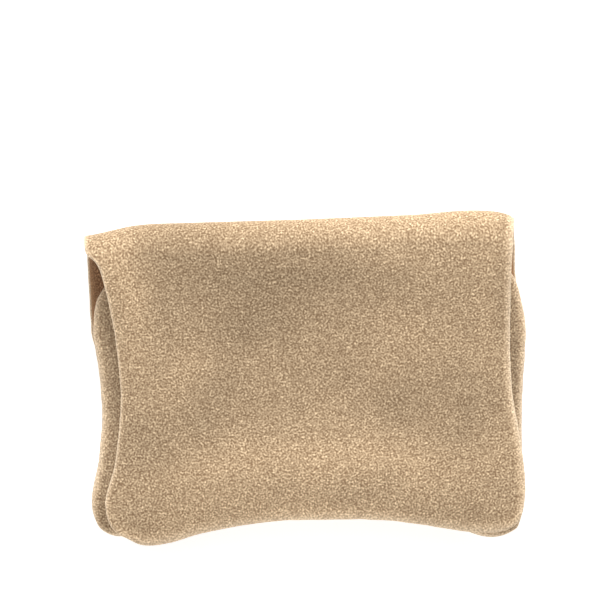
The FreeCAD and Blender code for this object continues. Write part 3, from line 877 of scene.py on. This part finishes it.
def napped(name, ground, tip, rim, fibre_size, depth, sheen, contrast=3.2):
    """fibre_size is in millimetres, and depth is the height of the nap's bumps."""
    material = bpy.data.materials.new(name)
    material.use_nodes = True
    tree = material.node_tree
    shader = tree.nodes["Principled BSDF"]
    pile = add_node(tree, "ShaderNodeGroup", node_tree=nap)
    pile.inputs["Fibre Size"].default_value = fibre_size
    pile.inputs["Contrast"].default_value = contrast
    read = {key: add_node(tree, "ShaderNodeAttribute", attribute_name=key) for key in ("cut", "painted_light_and_wear", "rim")}
    tree.links.new(read["cut"].outputs["Vector"], pile.inputs["Vector"])
    shade = math_node(tree, "MULTIPLY_ADD", pile.outputs["Mottle"], 2 * MOTTLE, 1 - MOTTLE)
    # The strokes' painted light and shade, and the pale edge band, scale the colour here.
    shade = math_node(tree, "MULTIPLY", shade, math_node(tree, "ADD", read["painted_light_and_wear"].outputs["Fac"], 1.0))
    grey = add_node(tree, "ShaderNodeCombineColor")
    for socket in grey.inputs:
        tree.links.new(shade, socket)
    base = mix_colour(tree, pile.outputs["Fibre"], ground, tip)
    base = mix_colour(tree, 1.0, base, grey.outputs[0], "MULTIPLY")
    pale = math_node(tree, "MULTIPLY", math_node(tree, "POWER", read["rim"].outputs["Fac"], EDGE_POWER),
                     math_node(tree, "MULTIPLY_ADD", pile.outputs["Fibre"], EDGE_FIBRE, EDGE_PALE))
    tree.links.new(mix_colour(tree, pale, base, rim), shader.inputs["Base Color"])
    bump = add_node(tree, "ShaderNodeBump", Strength=1.0, Distance=depth)
    tree.links.new(pile.outputs["Height"], bump.inputs["Height"])
    tree.links.new(bump.outputs["Normal"], shader.inputs["Normal"])
    shader.inputs["Roughness"].default_value = 0.95
    shader.inputs["Specular IOR Level"].default_value = 0.15
    shader.inputs["Sheen Weight"].default_value = sheen
    shader.inputs["Sheen Roughness"].default_value = 0.45
    shader.inputs["Sheen Tint"].default_value = tuple(0.6 + 0.4 * c for c in tip[:3]) + (1.0,)
    print(f"{name}: {len(tree.nodes)} nodes")
    return material


suede = napped("tan_suede", colour(135, 109, 82), colour(232, 205, 168), colour(248, 226, 196), 0.95,
               0.16 * MM, 0.25, contrast=2.5)
lining = napped("brown_lining", colour(127, 94, 67), colour(196, 153, 116), colour(184, 144, 109), 0.8,
                0.10 * MM, 0.12)
fleece = napped("grey_fleece", colour(150, 146, 136), colour(208, 204, 194), colour(200, 196, 186), 1.4,
                0.2 * MM, 0.1)

# %% [markdown]
# ## Finishes: thread, slot leather and metal
# The thread is matt, the card slots are smooth brown leather with fine pebbles, and the snap is brass that
# has darkened unevenly. Their patterns could be painted textures, but noise on Object coordinates needs no
# unwrapping and stays sharp at any size. Its scales count cells per metre.


# %% Smooth finishes
def plain(name, base, roughness, metallic=0.0):
    """A material of one colour. Returns it with its tree and its shader, so that more can be added."""
    material = bpy.data.materials.new(name)
    material.use_nodes = True
    shader = material.node_tree.nodes["Principled BSDF"]
    shader.inputs["Base Color"].default_value = base
    shader.inputs["Roughness"].default_value = roughness
    shader.inputs["Metallic"].default_value = metallic
    return material, material.node_tree, shader


def grain(tree, shader, scale, depth, kind="ShaderNodeTexVoronoi"):
    """Small pebbles on the surface. Returns their pattern."""
    place = add_node(tree, "ShaderNodeTexCoord").outputs["Object"]
    cells = add_node(tree, kind, Scale=scale)
    tree.links.new(place, cells.inputs["Vector"])
    bump = add_node(tree, "ShaderNodeBump", Distance=depth)
    tree.links.new(cells.outputs[0], bump.inputs["Height"])
    tree.links.new(bump.outputs["Normal"], shader.inputs["Normal"])
    return cells.outputs[0]


thread, tree, shader = plain("tan_thread", colour(190, 160, 122), 0.75)
grain(tree, shader, 4200, 0.08 * MM)
shader.inputs["Sheen Weight"].default_value = 0.3
slot_leather, tree, shader = plain("brown_slot_leather", colour(92, 62, 42), 0.5)
pebbles = grain(tree, shader, 900, 0.09 * MM)
slot_brown = mix_colour(tree, pebbles, colour(112, 78, 53), colour(70, 46, 31))
tree.links.new(slot_brown, shader.inputs["Base Color"])
brass, tree, shader = plain("antique_brass", colour(150, 128, 88), 0.32, 1.0)
place = add_node(tree, "ShaderNodeTexCoord").outputs["Object"]
tarnish = noise_at(tree, place, 900.0, 4.0, 0.5)
bright = math_node(tree, "SUBTRACT", math_node(tree, "MULTIPLY", tarnish, 2.2), 0.6, clamp=True)
aged_brass = mix_colour(tree, bright, colour(118, 98, 66), colour(186, 164, 118))
tree.links.new(aged_brass, shader.inputs["Base Color"])
tree.links.new(math_node(tree, "MULTIPLY_ADD", tarnish, 0.3, 0.18), shader.inputs["Roughness"])
magnet_black, tree, shader = plain("magnet_black", colour(38, 37, 36), 0.6)
grain(tree, shader, 5000, 0.03 * MM, "ShaderNodeTexNoise")
print("finishes", [m.name for m in (thread, slot_leather, brass, magnet_black)])

# %% [markdown]
# ## Which piece wears which finish
# A piece could be given its material as it is made. The CAD's own metal parts take theirs here too.

# %% Give each piece its finish
for finish, slot, pieces in (
    (suede, "suede", (suede_back, suede_flap, suede_pocket, mouth_facing)),
    (lining, "lining", (lining_back, lining_flap, lining_pocket)),
    (fleece, "fleece", (fleece_flap, fleece_pocket)),
    (slot_leather, "slot_leather", (slot_rear, slot_front)),
    (thread, "thread", (flap_thread, pouch_thread, mouth_thread, slot_thread)),
    (brass, "snap_metal", (socket_cup, stud_cup)),
):
    for piece in pieces:
        piece.data.materials.append(finish)
for name, finish in (
    ("snap_socket_magnet", magnet_black), ("snap_socket_plate", brass), ("snap_socket_washer", brass),
    ("snap_stud_plate", brass), ("snap_stud_washer", brass),
):
    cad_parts[name].material_slots[0].material = finish
print("materials", [m.name for m in bpy.data.materials])

# %% [markdown]
# ## The cuts that each sheet came from
# Here each sheet's size before it was folded is printed, from the cut it was made from. It could be
# measured on the finished mesh, but the cut says it directly. The suede's flat length includes its half of
# the fold.


def flat_size(edges, part=1.0):
    wide, tall = cut_size(edges)
    return round(wide, 4), round(tall * part, 4)


for piece, edges, part, held, rests in (
    (suede_back, back_edges, 1.0, "folded", []),
    (suede_flap, flap_edges, 1.0, "folded", [suede_pocket]),
    (suede_pocket, pocket_edges, 1.0, "stretched", [suede_back]),
    (mouth_facing, pocket_edges, 1 - FACING_FROM, "stretched", [suede_pocket]),
    (lining_back, back_edges, 1.0, "laid", [suede_back]),
    (lining_flap, flap_edges, 1.0, "folded", [suede_flap]),
    (lining_pocket, pocket_edges, LINING_TO, "stretched", [suede_pocket]),
    (fleece_flap, flap_edges, FLEECE_TO, "laid", [suede_flap]),
    (fleece_pocket, pocket_edges, 1.0, "laid", [suede_pocket]),
    (slot_rear, slot_edges("card_slot_rear"), 1.0, "laid", [lining_back]),
    (slot_front, slot_edges("card_slot_front"), 1.0, "laid", [slot_rear]),
):
    flat_size(edges, part)
    print(piece.name, "was cut", flat_size(edges, part), "m")

# %% [markdown]
# ## Floor, lights and camera
# The wallet lies on a light table: a plain white floor that glows a little, so that hardly any shadow
# shows. A shadow catcher would need compositing, and a glowing floor doesn't. One large soft lamp from the
# top side of the fold grazes the nap, and a weaker one opens the shadows. The camera looks straight down.

# %% Floor and lights
FLOOR_HALF, FLOOR_GAP = 3.0, 0.3 * MM
FLOOR_GLOW, SKY_STRENGTH = 0.5, 0.46
WHITE = (1, 1, 1, 1)


def soft_lamp(name, place, size, power):
    """A round area lamp that points at the origin."""
    data = bpy.data.lights.new(name, "AREA")
    data.shape, data.size, data.energy = "DISK", size, power
    lamp = bpy.data.objects.new(name, data)
    lamp.location = place
    lamp.rotation_euler = (-Vector(place)).to_track_quat("-Z", "Y").to_euler()
    bpy.context.scene.collection.objects.link(lamp)


bm = bmesh.new()
bmesh.ops.create_grid(bm, x_segments=1, y_segments=1, size=FLOOR_HALF)
bmesh.ops.translate(bm, verts=bm.verts, vec=(0, 0, -FLOOR_GAP))
floor = finish_mesh("floor", bm, smooth=0)
floor_white, _, shader = plain("floor_white", (0.92, 0.92, 0.91, 1), 0.9)
shader.inputs["Emission Color"].default_value = WHITE
shader.inputs["Emission Strength"].default_value = FLOOR_GLOW
floor.data.materials.append(floor_white)
soft_lamp("key", (0.12, 0.92, 0.60), 0.5, 14.5)
soft_lamp("fill", (-0.4, -0.8, 0.8), 0.9, 4)
world = bpy.data.worlds.new("studio")
world.use_nodes = True
world.node_tree.nodes["Background"].inputs["Color"].default_value = WHITE
world.node_tree.nodes["Background"].inputs["Strength"].default_value = SKY_STRENGTH
bpy.context.scene.world = world

# %% Camera
WALLET_SHARE = 0.735  # share of the view's width that the wallet fills
SENSOR, DISTANCE, FOCUS_HEIGHT = 36, 0.8, 10 * MM
CAMERA_X, CAMERA_Y = -1.05 * MM, 20.8 * MM
view_width = 2 * HALF_WIDTH / WALLET_SHARE
camera_data = bpy.data.cameras.new("camera")
camera_data.sensor_width = SENSOR
camera_data.lens = SENSOR * DISTANCE / view_width
camera = bpy.data.objects.new("camera", camera_data)
camera.location = (CAMERA_X, CAMERA_Y, DISTANCE + FOCUS_HEIGHT)
bpy.context.scene.collection.objects.link(camera)
bpy.context.scene.camera = camera
bpy.context.scene.view_settings.view_transform = "Standard"
print(f"camera {DISTANCE} m above the wallet's middle height, seeing {view_width / MM:.0f} mm")
